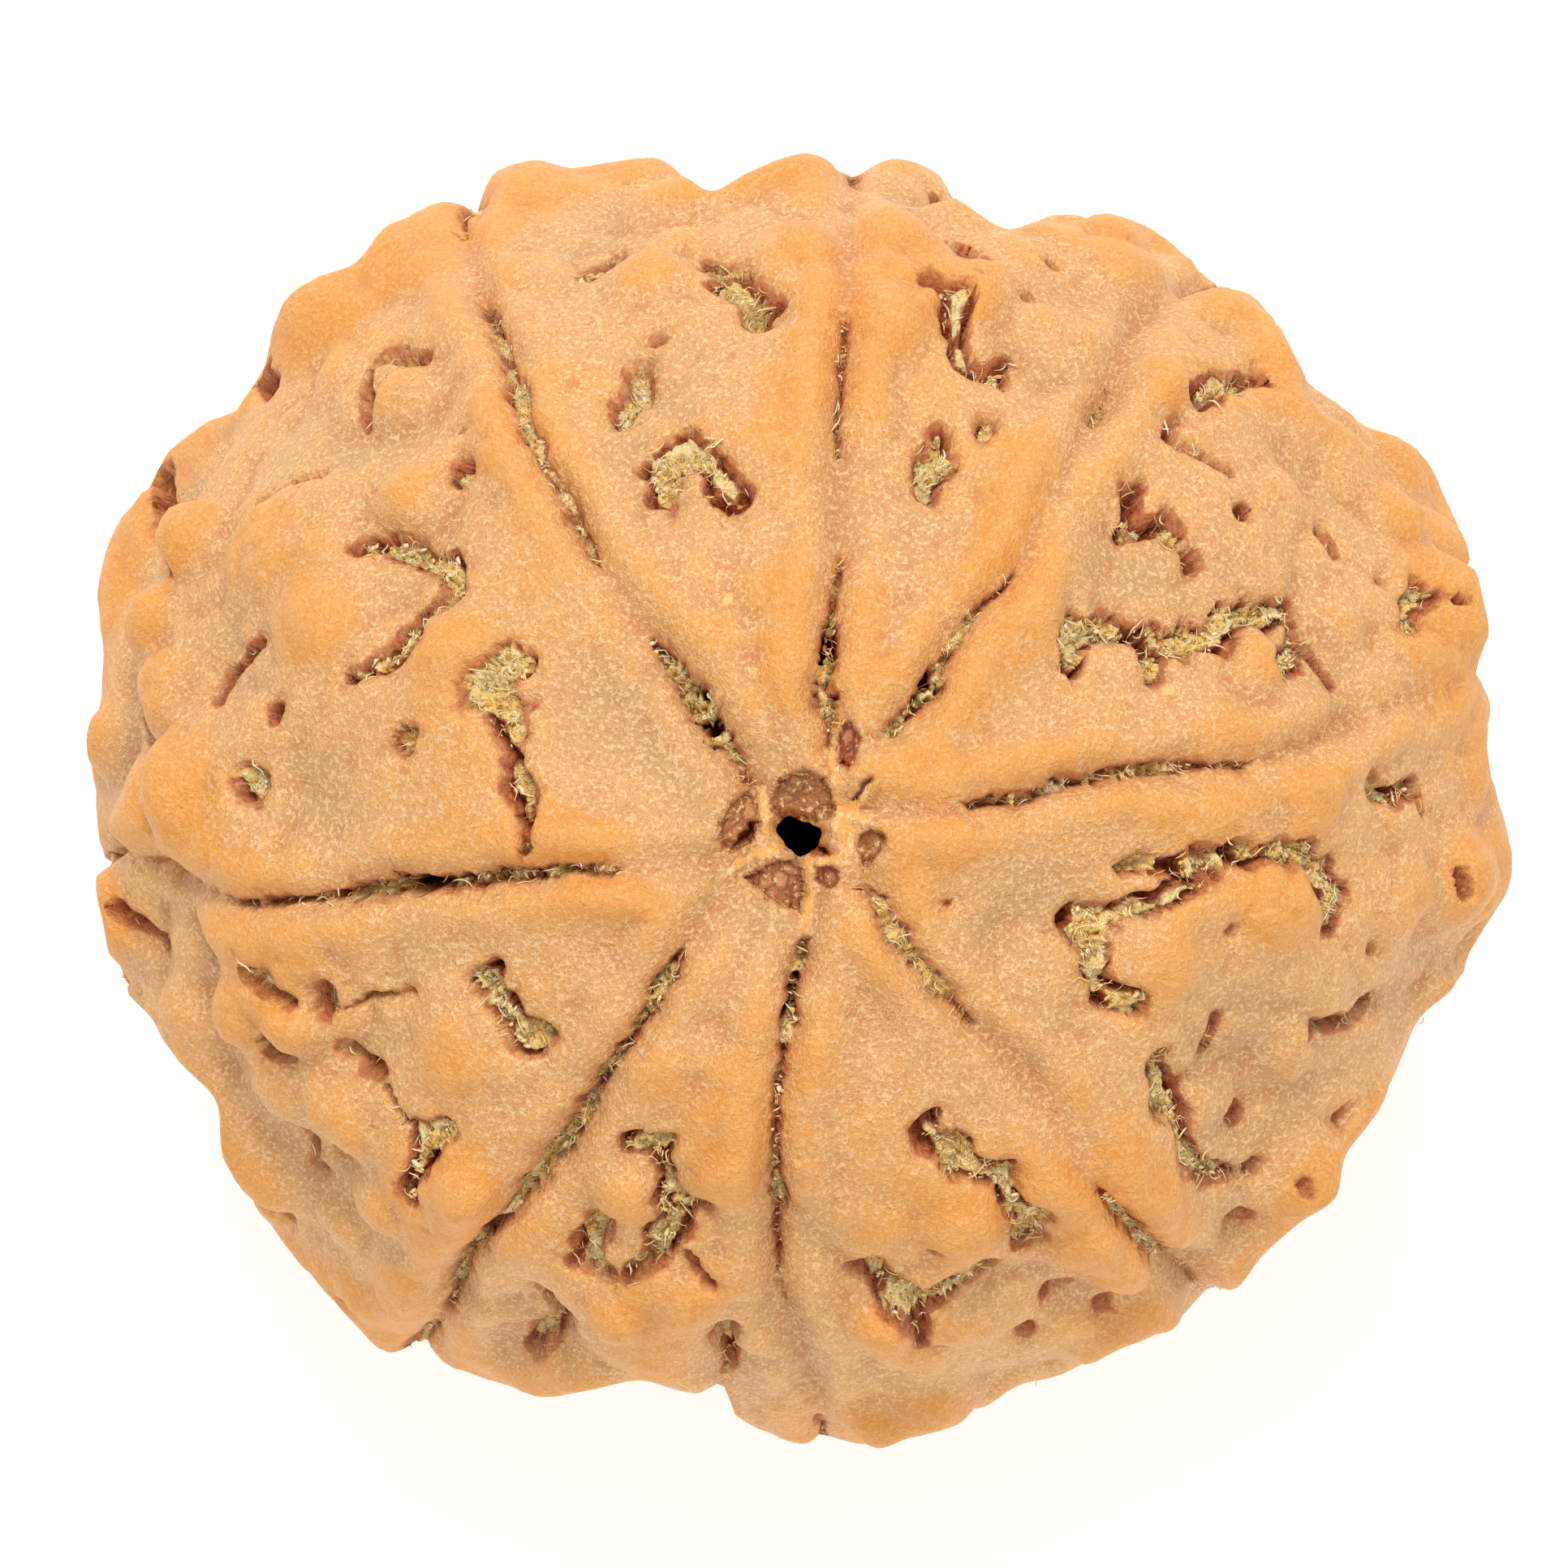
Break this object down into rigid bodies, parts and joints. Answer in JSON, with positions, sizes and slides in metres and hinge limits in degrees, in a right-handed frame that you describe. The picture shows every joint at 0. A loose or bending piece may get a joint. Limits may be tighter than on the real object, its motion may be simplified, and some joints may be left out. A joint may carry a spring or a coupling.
{
  "type": "rudraksha seed",
  "caption": "Flattened round rudraksha stone with clefts running pole to pole, welts beside them, knobs, worm-like pits and a fine stem channel.",
  "frame": {"origin": "middle of the bounding box in plan, on the small flat of the lower pole that the stone stands on", "axes": "+Z runs from the lower pole to the stem end, +X is the long way across, +Y is away from a viewer who has +X to the right"},
  "size_m": [0.0244, 0.0222, 0.0205],
  "materials": {
    "stone": "satin"
  },
  "bodies": {
    "root": {"stone": "stone"}
  },
  "joints": []
}
